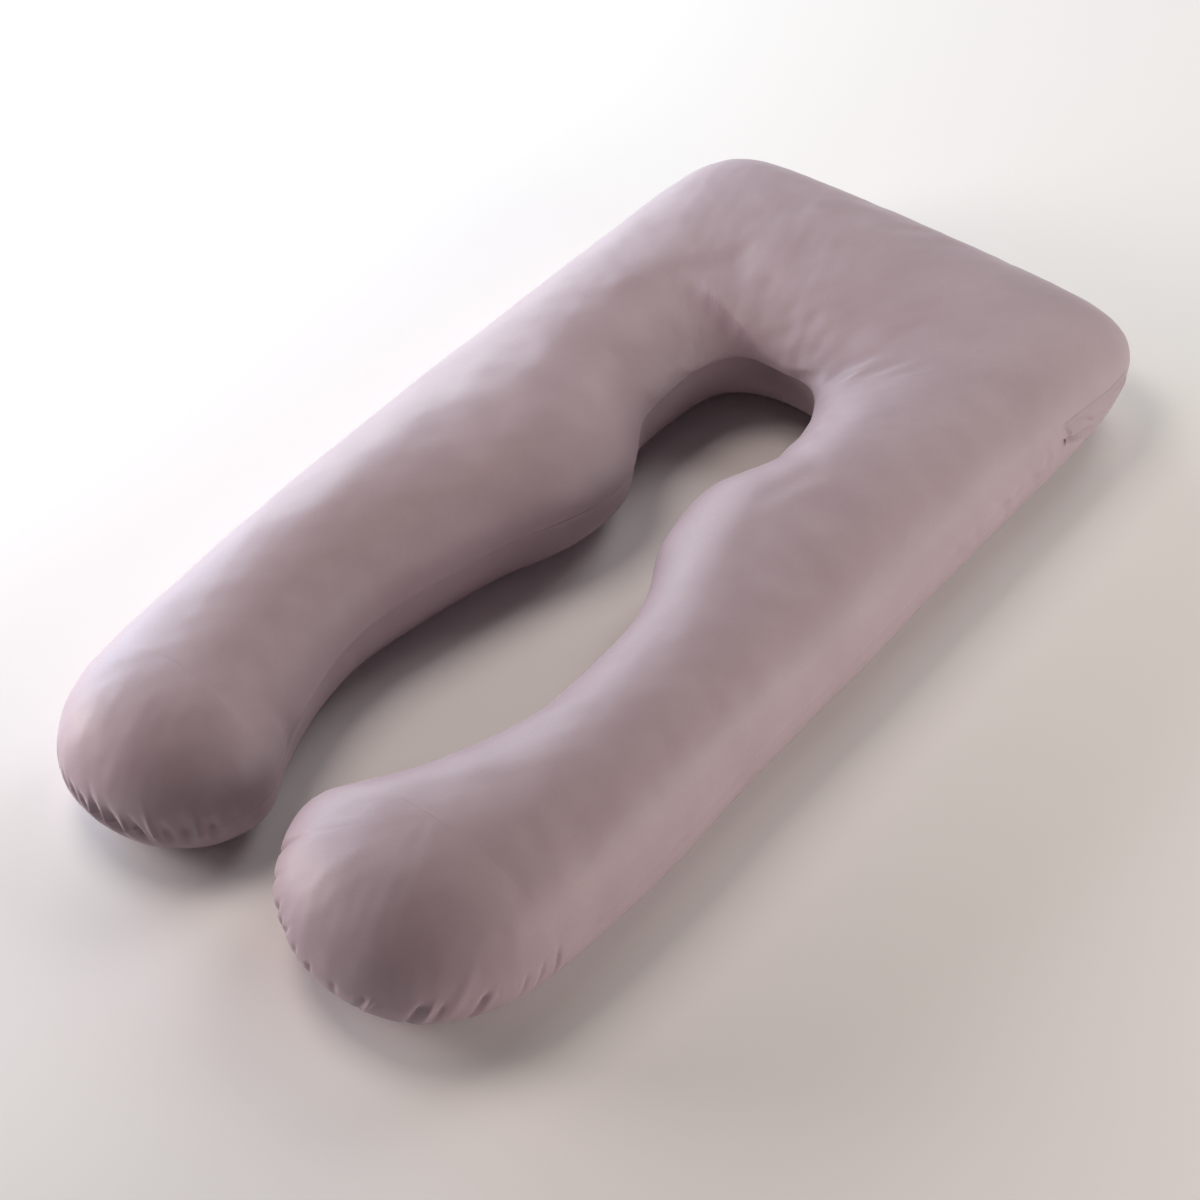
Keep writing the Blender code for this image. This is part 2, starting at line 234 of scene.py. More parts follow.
FOLDS = (
    # name, start x and y, middle x and y, end x and y, rise (a trough below 0), half width to its left and
    # to its right, and power: 2 is round across, 1 is a crease
    ("lip over the neck", -190, 1080, -52, 1055, 90, 1057, 14.0, 38, 11, 1.0),
    ("neck fold 1", -80, 1040, -104, 1094, -134, 1150, -1.5, 22, 12, 2),
    ("neck crest 1", -66, 1038, -84, 1092, -104, 1140, 0.35, 8, 14, 2),
    ("neck fold 2", -46, 1066, -52, 1084, -58, 1106, -0.6, 8, 7, 2),
    ("neck fold 3", -8, 1062, -16, 1091, -26, 1120, -0.7, 9, 8, 2),
    ("neck fold 4", 16, 1058, 16, 1084, 10, 1130, -0.8, 8, 8, 2),
    ("neck fold 5", 36, 1056, 40, 1086, 48, 1122, -0.7, 7, 8, 2),
    ("neck fold 6", 58, 1048, 68, 1076, 84, 1126, -0.4, 8, 8, 2),
    ("neck fold 7", 80, 1052, 104, 1080, 136, 1114, -1.3, 9, 7, 2),
    ("neck crest 7", 96, 1052, 122, 1074, 166, 1100, 0.5, 10, 16, 2),
    ("shoulder crest", -222, 950, -206, 1056, -150, 1164, 3.6, 38, 16, 1.2),
    ("shoulder hollow", -174, 1060, -152, 1110, -134, 1170, -1.8, 12, 18, 2),
    ("head hollow 1", -150, 1120, -140, 1150, -146, 1186, -1.0, 9, 9, 2),
    ("head hollow 2", -164, 1160, -166, 1200, -150, 1246, -1.0, 10, 10, 2),
    ("right limb fold", 172, 770, 184, 816, 206, 880, -2.4, 14, 12, 2),
    ("left foot crease", -70, 224, -100, 224, -128, 218, -4.0, 16, 16, 2),
)

LUMPS = (
    # x, y, rise of the filling under the top panel, radius
    (-317, 228, 2.0, 34),
    (-302, 386, 2.0, 40),
    (-261, 505, 1.8, 36),
    (-215, 640, -1.6, 60),
    (232, 560, -2.0, 70),
    (250, 330, 1.8, 60),
    (-90, 1240, 1.6, 70),
    (150, 1200, -1.8, 60),
    (300, 800, 1.6, 50),
)
FILL_WAVES = 44            # waves of uneven filling, in every direction over the top panel
FILL_LENGTHS = (19, 110)   # of the shortest wave and the longest
FILL_RISE = 0.034          # of the shortest: a longer wave rises as the root of its length
FILL_DRAW = 5              # starts the random draws of their directions and places
FILL_FADE = 24             # uneven filling fades out over this distance to the seam
FOLD_END = 0.3             # a fold fades out over this share of its line at either end
FOLD_ROUND = 1.3           # the keenest crease is still rounded over about this distance
FOLD_REACH = 3             # it is worked out as far as this many half widths round its line

# ---------------- how the cloth of the cover is simulated

CLOTH_STEP = 2             # the simulation uses every second outer rib, and every second point of a rib
CLOTH_FRAMES = 14
CLOTH_MASS = 0.3
CLOTH_PRESSURE = 0.5
CLOTH_STIFFNESS = 60
CLOTH_BENDING = 1.0
CLOTH_EASE = 0.04          # share by which the cloth at the seam is too long, so that it puckers
CLOTH_EASE_REACH = 14
CLOTH_EASE_LEVELS = 12     # the ease fades in this many levels
CLOTH_SWELL_ROUNDS = 120   # rounds of averaging that find the broad swell, which the crown already has
CLOTH_SMOOTH_ROUNDS = 2    # and rounds that smooth what is left
CLOTH_LIMIT = 2.5          # the simulation moves the surface by no more than this
CLOTH_HELD = 1             # the cloth is held where it lies lower than this
ON_FLOOR = 0.001           # and the finished cover keeps its points that lie lower than this
PLACE_DIGITS = 2           # points whose places agree to this many digits are one
TURN_DIGITS = 6            # ribs whose turns agree to this many digits are mates

# ---------------- the strip that covers the zip

PLACKET_ROWS = (
    # turn, height of the stitched edge over the seam, height of the free edge, and how far this stands off
    (0.436, 8, -3, 0.5),
    (0.462, 13, -4, 6.5),
    (0.490, 18, -4, 7.0),
    (0.516, 23, -3, 3.0),
    (0.538, 26, -1, 3.0),
    (0.560, 29, 4, 4.0),
    (0.588, 32, 12, 4.0),
)
PLACKET_GAP = 0.1          # clear of the pillow at the stitched edge
PLACKET_EDGE = 0.06        # thickness there, where the strip is turned in and pressed flat
PLACKET_THICKNESS = 1.0    # two layers of the cover's cloth, folded
PLACKET_END_LENGTH = 7     # either end is pressed flat over this length
PLACKET_CURL = 0.6         # share of its stand-off that the strip loses again as its edge curls under
PLACKET_CURL_FROM = 0.6    # the curl starts at this share of the way down
PLACKET_LINES = 130        # lines of its grid along it
PLACKET_POINTS = 34        # and points of each, on either face
PLACKET_SHARP = 40         # degrees between faces from which its pressed edges are sharp
STITCH_ROWS = (2.0, 5.5)   # two rows of stitches, from the stitched edge down
STITCH_START = 2           # from the strip's end to the first
STITCH_LENGTH = 3.0
STITCH_PITCH = 4.0
STITCH_WIDTH = 0.8
STITCH_RINGS = 7           # rings of points along a stitch
STITCH_SIDES = 6           # and points of each ring
STITCH_TIP = 0.02          # a ring's radius is at least the root of this share
STITCH_DIP = 0.35          # the strip dips by this much under a row
STITCH_DIP_REACH = 1.0     # over this distance on either side

# ---------------- how finely the ribs are laid

PITCH_ROWS = (
    # turn, distance between two ribs along the seam
    (0.96, 5.7),
    (1.06, 9.0),
    (1.88, 9.0),
    (2.00, 2.7),
)
BEND_WEIGHT = 60           # a radian of the seam's bend counts as this much length
FINE_TIMES = 2.5           # ribs are this many times closer along the strip's free edge
FINE_TURN = 0.525          # most at this turn
FINE_HALF = 0.075          # and fading over this many turns
TRIAL_TURNS = 1500         # a stretch of seam is measured at this many places first
TOP_POINTS = 38            # points of a rib over the top
TOP_CLOSER = 1.5           # power that draws them together by the seam
WALL_POINTS = 19           # points of the rounded wall under the seam
WALL_CLOSER = 1.7          # power that draws them together by the seam
FLAT_POINTS = 3            # points of the part that lies flat
FOLD_STEPS = 33            # a fold's line is followed in this many steps


def bell(distance, reach):
    """A bell curve: 1 at no distance, and near 0 from about twice the reach on."""
    return np.exp(-((distance / reach) ** 2))


def unit(vectors):
    """Vectors in the same directions, 1 long."""
    return vectors / np.linalg.norm(vectors, axis=-1, keepdims=True)


def run_along(line):
    """Distance of each of a line's points from the first, measured along the line."""
    return np.concatenate([[0], np.cumsum(np.linalg.norm(np.diff(line, axis=0), axis=1))])


def slopes_of(rows, values, first=None, last=None):
    """The slope at each row of a table, from its neighbours. The end slopes can be given."""
    slopes = np.gradient(values, rows, edge_order=2)
    if first is not None:
        slopes[0] = first
    if last is not None:
        slopes[-1] = last
    return slopes


def through(at, rows, values, slopes):
    """Reads a smooth curve through a table's rows: between two rows it is the cubic with their slopes."""
    row = np.clip(np.searchsorted(rows, at, side="right") - 1, 0, len(rows) - 2)
    span = rows[row + 1] - rows[row]
    u = (at - rows[row]) / span
    start = (2 * u**3 - 3 * u**2 + 1) * values[row] + (u**3 - 2 * u**2 + u) * span * slopes[row]
    end = (3 * u**2 - 2 * u**3) * values[row + 1] + (u**3 - u**2) * span * slopes[row + 1]
    return start + end


def curve_distance(angle, across, along, squareness):
    """Distance to a superellipse of the given half axes, in the direction of the angle."""
    across_share, along_share = np.cos(angle) / across, np.sin(angle) / along
    return (across_share**squareness + along_share**squareness) ** (-1 / squareness)


def limb_columns(side):
    """The columns of a limb's table, with the slopes that carry the seam smoothly into the head."""
    y, outer, inner, crown = np.array(LIMB_ROWS[side], float).T
    return y, outer, inner, crown, slopes_of(y, outer, last=0), slopes_of(y, inner, last=0)


def crossing(side, along):
    """Outer seam point, inner seam point and crown where a rib crosses the limb or the head.

    along is 0 at the middle of the head, 1 at the neck line and 2 at the foot line. On a limb the points are
    read from its table. In the head they lie on a ray from the middle of the neck line, which meets two
    superellipses.
    """
    rows, outer, inner, crown, outer_slopes, inner_slopes = limb_columns(side)
    y = NECK_LINE - np.clip(along - 1, 0, 1) * (NECK_LINE - FOOT_LINE)
    limb_outer = np.stack([through(y, rows, outer, outer_slopes), y], 1)
    limb_inner = np.stack([through(y, rows, inner, inner_slopes), y], 1)
    limb_crown = through(y, rows, crown, slopes_of(rows, crown, first=0, last=0))

    degrees = 90 * (1 - np.minimum(along, 1))
    angle = np.radians(degrees)
    ray = np.stack([np.cos(angle), np.sin(angle)], 1)
    neck = np.array([0, NECK_LINE])
    to_back = curve_distance(angle, outer[-1], HEAD_END - NECK_LINE, HEAD_SQUARENESS)
    to_neck = curve_distance(angle, inner[-1], NECK_DEPTH, NECK_SQUARENESS)
    head_rows, head_crown = np.array(HEAD_ROWS, float).T
    crown_there = through(degrees, head_rows, head_crown, slopes_of(head_rows, head_crown, 0, 0))

    on_limb = along > 1
    outer_point = np.where(on_limb[:, None], limb_outer, neck + ray * to_back[:, None])
    inner_point = np.where(on_limb[:, None], limb_inner, neck + ray * to_neck[:, None])
    return outer_point, inner_point, np.where(on_limb, limb_crown, crown_there)


def foot_seam(side, turn):
    """Seam points round a foot, at turns from 2 to 3, and the foot's middle: a distance read by the angle."""
    _, outer, inner, _, outer_slopes, inner_slopes = limb_columns(side)
    middle = np.array([(outer[0] + inner[0]) / 2, FOOT_LINE])
    half_width = (outer[0] - inner[0]) / 2
    table = ((0, half_width),) + FOOT_ROWS[side] + ((180, half_width),)
    degrees, radius = np.array(table, float).T
    rows = np.radians(degrees)
    slopes = slopes_of(rows, radius, -outer_slopes[0] * half_width, -inner_slopes[0] * half_width)
    angle = np.pi * np.clip(turn - 2, 0, 1)
    reach = through(angle, rows, radius, slopes)
    return middle + np.stack([np.cos(angle), -np.sin(angle)], 1) * reach[:, None], middle


def ribs(side, turn):
    """Seam point, spine point, crown and seam height of the ribs at the given turns of one half of the U."""
    outer, inner, crown = crossing(side, np.where(turn < 2.5, np.minimum(turn, 2), 5 - np.maximum(turn, 3)))
    foot, middle = foot_seam(side, turn)
    in_foot = ((turn > 2) & (turn < 3))[:, None]
    seam = np.where(in_foot, foot, np.where((turn < 2.5)[:, None], outer, inner))
    spine = np.where(in_foot, middle, (outer + inner) / 2)
    rows, share = np.array(SEAM_ROWS, float).T
    height = crown * through(turn, rows, share, slopes_of(rows, share, 0, 0))
    return seam * [side, 1], spine * [side, 1], crown, height


def even_turns(side, start, end):
    """Turns from start to end, as far apart along the seam as the pitch rows say, and closer where the seam
    bends and along the strip's free edge."""
    turn = np.linspace(start, end, TRIAL_TURNS)
    step = np.diff(ribs(side, turn)[0], axis=0)
    bend = np.abs(np.gradient(np.unwrap(np.arctan2(step[:, 1], step[:, 0]))))
    close = 1 + (FINE_TIMES - 1) * bell(turn[1:] - FINE_TURN, FINE_HALF) * (side == RIGHT)
    pitch = np.interp(turn[1:], *np.array(PITCH_ROWS).T)
    run = np.concatenate([[0], np.cumsum((np.hypot(*step.T) + BEND_WEIGHT * bend) * close / pitch)])
    return np.interp(np.linspace(0, run[-1], round(run[-1]) + 1), run, turn)


def half_turns(side):
    """The turns at which one half has its ribs. Each on an outer side has its mate on the inner side."""
    head, limb, foot = (even_turns(side, start, start + 1) for start in (0, 1, 2))
    outside = np.concatenate([head, limb[1:]])
    return np.concatenate([outside, foot[1:-1], 5 - outside[::-1]])


def section_shares(by_crown, by_seam):
    """Shares that place each rib's points: across from spine to seam, up from the seam to the crown, and up
    from the floor to the seam. The top is a quarter of a superellipse with the rib's own exponents. The wall
    is a quarter of an ellipse, and then the rib lies flat."""
    top = np.radians(90 * np.linspace(1, 0, TOP_POINTS + 1) ** TOP_CLOSER)
    wall = np.radians(90 * np.linspace(0, 1, WALL_POINTS + 1)[1:] ** WALL_CLOSER)
    ribs_alike = np.ones((len(by_crown), 1))
    across_top = np.maximum(np.cos(top), 0)[None, :] ** (2 / by_crown[:, None])
    across_wall = FLAT_SHARE + (1 - FLAT_SHARE) * np.cos(wall)
    across_flat = FLAT_SHARE * np.linspace(1, 0, FLAT_POINTS + 1)[1:]
    across = np.concatenate([across_top, ribs_alike * np.concatenate([across_wall, across_flat])], 1)
    above_top = np.sin(top)[None, :] ** (2 / by_seam[:, None])
    above = np.concatenate([above_top, ribs_alike * np.zeros(WALL_POINTS + FLAT_POINTS)], 1)
    below = np.concatenate([np.ones(TOP_POINTS + 1), 1 - np.sin(wall), np.zeros(FLAT_POINTS)])
    return across, above, ribs_alike * below


def section(seam, spine, crown, height, by_crown, by_seam):
    """Points of each rib from the spine over the top to the seam, and on underneath to the spine again."""
    across, above, below = section_shares(by_crown, by_seam)
    plan = spine[:, None, :] + (seam - spine)[:, None, :] * across[:, :, None]
    z = height[:, None] * below + (crown - height)[:, None] * above
    return np.concatenate([plan, z[:, :, None]], 2)


def outward(grid):
    """Unit normals of a grid of ribs that closes on itself, straight up along the top of the spine."""
    around = np.roll(grid, -1, axis=0) - np.roll(grid, 1, axis=0)
    normal = np.cross(around, np.gradient(grid, axis=1))
    normal[:, 0] = (0, 0, 1)
    normal[:, -1] = (0, 0, -1)
    return unit(normal)


def along_rib(grid):
    """Distance of every point from its rib's first point, measured over the surface."""
    step = np.linalg.norm(np.diff(grid, axis=1), axis=2)
    return np.concatenate([np.zeros((len(grid), 1)), np.cumsum(step, axis=1)], 1)


def sorted_pair(keys, values):
    """Keys in rising order, and their values in the same order."""
    order = np.argsort(keys)
    return keys[order], values[order]


def gather_depth(sides, turns, run, height):
    """How far the gathers draw the cloth in. Each is a bell across, and another away from the seam."""
    depth = np.zeros_like(height)
    for side, turn, deep, above, below, lean, width in GATHERS:
        mine = sides == side
        where = np.interp(turn, *sorted_pair(turns[mine], run[mine]))
        leaning = -side * lean * height
        fade = bell(height, np.where(height > 0, above, below))
        depth += deep * bell(run[:, None] - where - leaning, width) * fade
    return depth


def pocket_depth(pillow):
    """How far the pockets draw the cloth in: a bell along the seam and another, narrower, across it."""
    depth = np.zeros_like(pillow.height)
    for side, turn, height, deep, length, width, tilt in POCKETS:
        mine = pillow.sides == side
        where = np.interp(turn, *sorted_pair(pillow.turns[mine], pillow.run[mine]))
        along = pillow.run[:, None] - where
        across = pillow.height - height - tilt * along
        depth += np.where(mine[:, None], deep * bell(along, length) * bell(across, width), 0)
    return depth


def smooth_step(share):
    """Rises smoothly from 0 to 1 while the share does, and is level before and after."""
    share = np.clip(share, 0, 1)
    return share * share * (3 - 2 * share)


def fold_rise(points):
    """How far the folds raise each point of the top panel. A fold's line is the parabola through its three
    places. Across it the rise is a bell, with its own half width on either side and its own power, and it
    fades out over the line's ends."""
    plan = points[..., :2]
    rise = np.zeros(points.shape[:-1])
    share = np.linspace(0, 1, FOLD_STEPS)[:, None]
    for _, x0, y0, x1, y1, x2, y2, high, left, right, power in FOLDS:
        first, middle, last = np.array([x0, y0]), np.array([x1, y1]), np.array([x2, y2])
        line = first * (1 - share) * (1 - 2 * share) + middle * 4 * share * (1 - share)
        line += last * share * (2 * share - 1)
        ahead = np.gradient(line, axis=0)
        length = np.linalg.norm(ahead, axis=1).sum()
        ahead = unit(ahead)
        reach = FOLD_REACH * max(left, right)
        inside = np.all((plan > line.min(0) - reach) & (plan < line.max(0) + reach), axis=-1)
        spot = plan[inside]
        near = np.argmin(((spot[:, None] - line) ** 2).sum(2), axis=1)
        offset = spot - line[near]
        along = share[near, 0] + (offset * ahead[near]).sum(1) / length
        aside = ahead[near, 0] * offset[:, 1] - ahead[near, 1] * offset[:, 0]
        away = np.hypot(aside, FOLD_ROUND) - FOLD_ROUND
        across = np.exp(-((away / np.where(aside > 0, left, right)) ** power))
        rise[inside] += high * across * smooth_step(along / FOLD_END) * smooth_step((1 - along) / FOLD_END)
    return rise


def fill_rise(points):
    """How far the filling raises each point of the top panel: a bell of its distance from each lump, and the
    sum of many low waves that cross in every direction."""
    rise = np.zeros(points.shape[:-1])
    for x, y, high, radius in LUMPS:
        rise += high * bell(np.hypot(points[..., 0] - x, points[..., 1] - y), radius)
    chance = np.random.default_rng(FILL_DRAW)
    for length in np.linspace(*FILL_LENGTHS, FILL_WAVES):
        angle, phase = chance.uniform(0, 2 * np.pi, 2)
        along = points[..., 0] * np.cos(angle) + points[..., 1] * np.sin(angle)
        rise += FILL_RISE * np.sqrt(length / FILL_LENGTHS[0]) * np.cos(2 * np.pi * along / length + phase)
    return rise


def of_sides(tables, sides, turns):
    """The columns of the two sides' tables, read straight between the rows at the turn of each rib."""
    right, left = [
        [np.interp(turns, table[0], column) for column in table[1:]]
        for table in (np.array(tables[side], float).T for side in (RIGHT, LEFT))
    ]
    return [np.where(sides == RIGHT, a, b) for a, b in zip(right, left)]


def seam_rise(sides, turns, height):
    """How far the seam and the wall under it are drawn in, with the groove that the stitches pull and the
    bead of the turned-in edges. Above the seam the draw fades as a bell. Under it the draw deepens as 1 less
    a fading power, so that the seam is the edge between a top that faces up and a wall that faces down."""
    groove, drawn, wall = [column[:, None] for column in of_sides(TUCK_ROWS, sides, turns)]
    under = np.maximum(-height, 0)
    over = bell(np.maximum(height, 0), TUCK_REACH)
    deeper = wall * (1 - np.exp(-((under / WALL_REACH) ** WALL_POWER)))
    stitched = groove * (SEAM_BEAD * bell(height, BEAD_REACH) - np.exp(-np.abs(height) / GROOVE_REACH))
    return stitched - (drawn * over + deeper) * bell(under, WALL_FADE)


class Pillow:
    """The grid of the pillow's surface with what is known of each rib and point."""

    def __init__(self):
        right, left = half_turns(RIGHT), half_turns(LEFT)
        halves = [ribs(RIGHT, right), ribs(LEFT, left)]
        seam, spine, crown, height = [np.concatenate([a, b[::-1][1:-1]]) for a, b in zip(*halves)]
        self.sides = np.concatenate([np.full(len(right), RIGHT), np.full(len(left) - 2, LEFT)])
        self.turns = np.concatenate([right, left[::-1][1:-1]])
        self.grid = section(seam, spine, crown, height, *of_sides(SECTION_ROWS, self.sides, self.turns))
        self.spine, self.towards = spine, seam - spine
        run = run_along(np.concatenate([seam, seam[:1]]))
        self.run, self.length = run[:-1], run[-1]
        # distances over the surface, from the spine and up from the seam
        self.from_spine = along_rib(self.grid)
        self.height = self.from_spine[:, TOP_POINTS : TOP_POINTS + 1] - self.from_spine

    def move(self, distance):
        """Moves each point outwards by its distance, apart from those that lie on the floor."""
        off_floor = self.grid[:, :, 2] > ON_FLOOR
        self.grid = self.grid + outward(self.grid) * np.where(off_floor, distance, 0)[:, :, None]
        self.grid[:, :, 2] = np.maximum(self.grid[:, :, 2], 0)


def averaged(field, rounds):
    """A field on a grid of ribs, averaged with its neighbours round after round."""
    for _ in range(rounds):
        field = (np.roll(field, 1, axis=0) + 2 * field + np.roll(field, -1, axis=0)) / 4
        field[:, 1:-1] = (field[:, :-2] + 2 * field[:, 1:-1] + field[:, 2:]) / 4
    return field


def simulated(points, faces, ease):
    """Where the points of a closed cover lie after a short cloth simulation under a little pressure, without
    gravity. The cloth is too long by its ease, and held where it lies on the floor."""
    mesh = bpy.data.meshes.new("cloth")
    mesh.from_pydata((points * MM).tolist(), [], faces)
    thing = bpy.data.objects.new("cloth", mesh)
    bpy.context.scene.collection.objects.link(thing)
    eased, held = thing.vertex_groups.new(name="eased"), thing.vertex_groups.new(name="held")
    held.add(np.flatnonzero(points[:, 2] < CLOTH_HELD).tolist(), 1.0, "REPLACE")
    level = np.round(ease * CLOTH_EASE_LEVELS)
    for n in range(1, CLOTH_EASE_LEVELS + 1):
        eased.add(np.flatnonzero(level == n).tolist(), n / CLOTH_EASE_LEVELS, "REPLACE")
    cloth = thing.modifiers.new("cloth", "CLOTH")
    cloth.settings.mass = CLOTH_MASS
    cloth.settings.tension_stiffness = CLOTH_STIFFNESS
    cloth.settings.compression_stiffness = CLOTH_STIFFNESS
    cloth.settings.shear_stiffness = CLOTH_STIFFNESS
    cloth.settings.bending_stiffness = CLOTH_BENDING
    cloth.settings.use_pressure = True
    cloth.settings.uniform_pressure_force = CLOTH_PRESSURE
    cloth.settings.effector_weights.gravity = 0
    cloth.settings.vertex_group_mass = held.name
    cloth.settings.vertex_group_shrink = eased.name
    cloth.settings.shrink_min = 0
    cloth.settings.shrink_max = -CLOTH_EASE
    for n in range(1, CLOTH_FRAMES + 1):
        bpy.context.scene.frame_set(n)
    moved = np.empty(points.size)
    thing.evaluated_get(bpy.context.evaluated_depsgraph_get()).data.vertices.foreach_get("co", moved)
    bpy.data.objects.remove(thing)
    bpy.data.meshes.remove(mesh)
    bpy.context.scene.frame_set(1)
    return moved.reshape(-1, 3) / MM


def cloth_rise(pillow):
    """How far the simulated cloth stands out from each point of the pillow, less its broad swell. The
    simulation runs on a coarser grid, of some ribs with their mates, in which points that share a place are
    one. Between its ribs and points the rise is read straight, and then smoothed."""
    rib_count, point_count = pillow.grid.shape[:2]
    chosen = (np.arange(rib_count) % CLOTH_STEP == 0) & (pillow.turns < 3)
    for side in (RIGHT, LEFT):
        mine = pillow.sides == side
        wanted = np.round(pillow.turns[mine & chosen], TURN_DIGITS)
        chosen |= mine & np.isin(np.round(5 - pillow.turns, TURN_DIGITS), wanted)
    rows = np.flatnonzero(chosen)
    columns = np.append(np.arange(0, point_count - 1, CLOTH_STEP), point_count - 1)
    coarse = pillow.grid[np.ix_(rows, columns)]
    places = coarse.reshape(-1, 3).round(PLACE_DIGITS)
    _, first, number = np.unique(places, axis=0, return_index=True, return_inverse=True)
    number = number.ravel()
    corners = number[quads(len(rows), len(columns)).reshape(-1, 4)]
    in_order = np.sort(corners, axis=1)
    whole = np.all(np.diff(in_order, axis=1) > 0, axis=1)
    at_poles = [list(dict.fromkeys(face)) for face in corners[~whole].tolist()]
    faces = corners[whole].tolist() + [face for face in at_poles if len(face) > 2]
    points = coarse.reshape(-1, 3)[first]
    ease = bell(pillow.height[np.ix_(rows, columns)].reshape(-1)[first], CLOTH_EASE_REACH)
    moved = (simulated(points, faces, ease) - points)[number].reshape(coarse.shape)
    rise = (moved * outward(coarse)).sum(2)
    rise = np.clip(rise - averaged(rise, CLOTH_SWELL_ROUNDS), -CLOTH_LIMIT, CLOTH_LIMIT)
    closed = np.append(rows, rib_count)
    along = [np.interp(np.arange(rib_count), closed, np.append(line, line[0])) for line in rise.T]
    across = [np.interp(np.arange(point_count), columns, line) for line in np.transpose(along)]
    return averaged(np.array(across), CLOTH_SMOOTH_ROUNDS)


def shaped_pillow():
    """The pillow with its lumps, drawn-in seam and gathers, then with what its cloth does, and then with its
    folds, so that they stay as keen as their table says."""
    pillow = Pillow()
    above_seam = smooth_step(pillow.height / FILL_FADE)
    folds = outward(pillow.grid) * np.where(pillow.height > 0, fold_rise(pillow.grid), 0)[:, :, None]
    seam = seam_rise(pillow.sides, pillow.turns, pillow.height)
    gathers = gather_depth(pillow.sides, pillow.turns, pillow.run, pillow.height)
    pillow.move(fill_rise(pillow.grid) * above_seam + seam - gathers)
    pillow.move(cloth_rise(pillow))
    pillow.grid = pillow.grid + folds
    return pillow


def shift_to_solid(points):
    """How far to move a pillow's points, so that its plan shares its middle with the solid's."""
    low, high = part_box("pillow")
    flat = points.reshape(-1, points.shape[-1])
    middle = (flat.min(0) + flat.max(0)) / 2
    target = np.array([(low.x + high.x) / 2, (low.y + high.y) / 2]) / MM
    return np.array([target[0] - middle[0], target[1] - middle[1], 0])


def quads(rows, columns):
    """Corner numbers of a grid's faces. They go round from the last row to the first."""
    i = np.arange(rows)[:, None]
    j = np.arange(columns - 1)[None, :]
    after = (i + 1) % rows
    return np.stack([i * columns + j, i * columns + j + 1, after * columns + j + 1, after * columns + j], -1)


def add_piece(name, points, faces, maps=None, weld=False):
    """Makes a mesh of points in millimetres. maps holds, by name, a pair of numbers for every face corner."""
    mesh = bpy.data.meshes.new(name)
    mesh.from_pydata((points.reshape(-1, 3) * MM).tolist(), [], faces.reshape(-1, 4).tolist())
    for map_name, values in (maps or {}).items():
        mesh.uv_layers.new(name=map_name).data.foreach_set("uv", values.astype(np.float32).ravel())
    shape = bmesh.new()
    shape.from_mesh(mesh)
    if weld:
        bmesh.ops.remove_doubles(shape, verts=shape.verts, dist=1e-6)
        bmesh.ops.dissolve_degenerate(shape, edges=shape.edges, dist=1e-6)
    bmesh.ops.recalc_face_normals(shape, faces=shape.faces)
    shape.to_mesh(mesh)
    shape.free()
    mesh.shade_smooth()
    thing = bpy.data.objects.new(name, mesh)
    bpy.context.scene.collection.objects.link(thing)
    return thing


def cover_maps(pillow):
    """Two maps, in metres. "cloth" lays each panel flat: the spine's place, and from there the distance over
    the surface towards the seam. "seam" has the run along the seam and the distance above it."""
    rows, columns = pillow.grid.shape[:2]
    direction = unit(pillow.towards)
    top = pillow.spine[:, None] + direction[:, None] * pillow.from_spine[:, :, None]
    from_below = pillow.from_spine[:, -1:] - pillow.from_spine
    under = pillow.spine[:, None] + direction[:, None] * from_below[:, :, None]
    i = np.arange(rows)[:, None]
    j = np.arange(columns - 1)[None, :]
    after = (i + 1) % rows
    corners = [(i, j), (i, j + 1), (after, j + 1), (after, j)]
    is_top = (j < TOP_POINTS)[..., None]
    cloth = np.stack([np.where(is_top, top[a, b], under[a, b]) for a, b in corners], 2)
    run_on = np.append(pillow.run, pillow.length)
    ahead = [i, i, i + 1, i + 1]
    seam = np.stack(
        [np.stack([run_on[n] + 0 * j, pillow.height[a, b]], -1) for n, (a, b) in zip(ahead, corners)], 2
    )
    return {"cloth": cloth * MM, "seam": seam * MM}


def skin(pillow, turns, heights):
    """Points and normals of the right half's surface, for each turn and each height over the seam."""
    mine = np.flatnonzero(pillow.sides == RIGHT)
    normal = outward(pillow.grid)
    place = np.interp(turns, pillow.turns[mine], np.arange(len(mine)))
    first = np.clip(place.astype(int), 0, len(mine) - 2)
    share = (place - first)[:, None, None]
    read = []
    for field in (pillow.grid, normal):
        sides = []
        for ribs_used in (mine[first], mine[first + 1]):
            rows = [
                [np.interp(wanted, pillow.height[rib][::-1], field[rib, ::-1, k]) for k in range(3)]
                for rib, wanted in zip(ribs_used, heights)
            ]
            sides.append(np.swapaxes(rows, 1, 2))
        read.append(sides[0] * (1 - share) + sides[1] * share)
    return read[0], unit(read[1])


